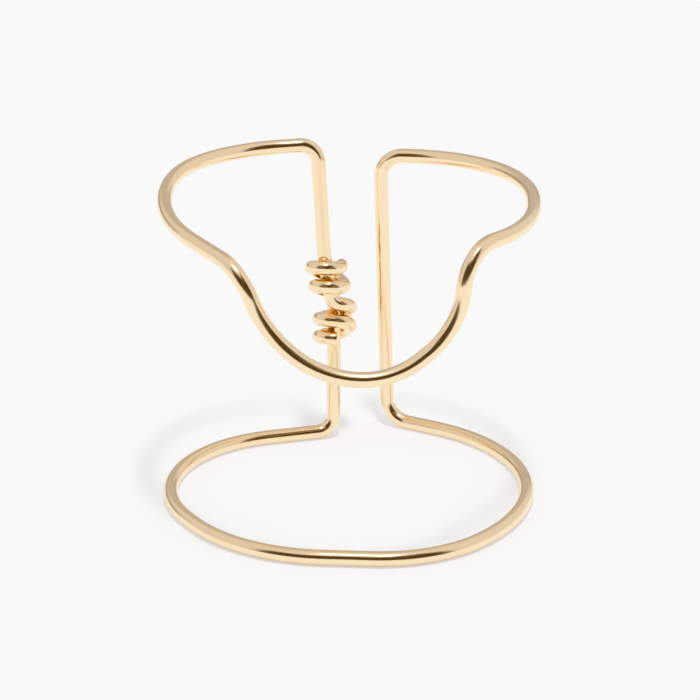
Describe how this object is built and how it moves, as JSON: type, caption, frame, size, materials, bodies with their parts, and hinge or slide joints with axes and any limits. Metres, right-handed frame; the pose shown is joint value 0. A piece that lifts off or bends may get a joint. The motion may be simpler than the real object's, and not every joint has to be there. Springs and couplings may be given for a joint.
{
  "type": "nail ring",
  "caption": "Open finger ring of one round wire: a lower loop, two posts at the back with a wrapped closure, and an upper loop that dips into a U round the nail.",
  "frame": {"origin": "under the middle of the finger hole, on the surface the lower loop stands on", "axes": "+Z along the finger, from the lower loop to the upper one; -Y to the front, where the nail opening is; +X to the right of someone who looks at the front"},
  "size_m": [0.0176, 0.0176, 0.0155],
  "materials": {
    "gold": "polished gold-filled round wire"
  },
  "bodies": {
    "root": {"ring_wire": "gold"}
  },
  "joints": []
}
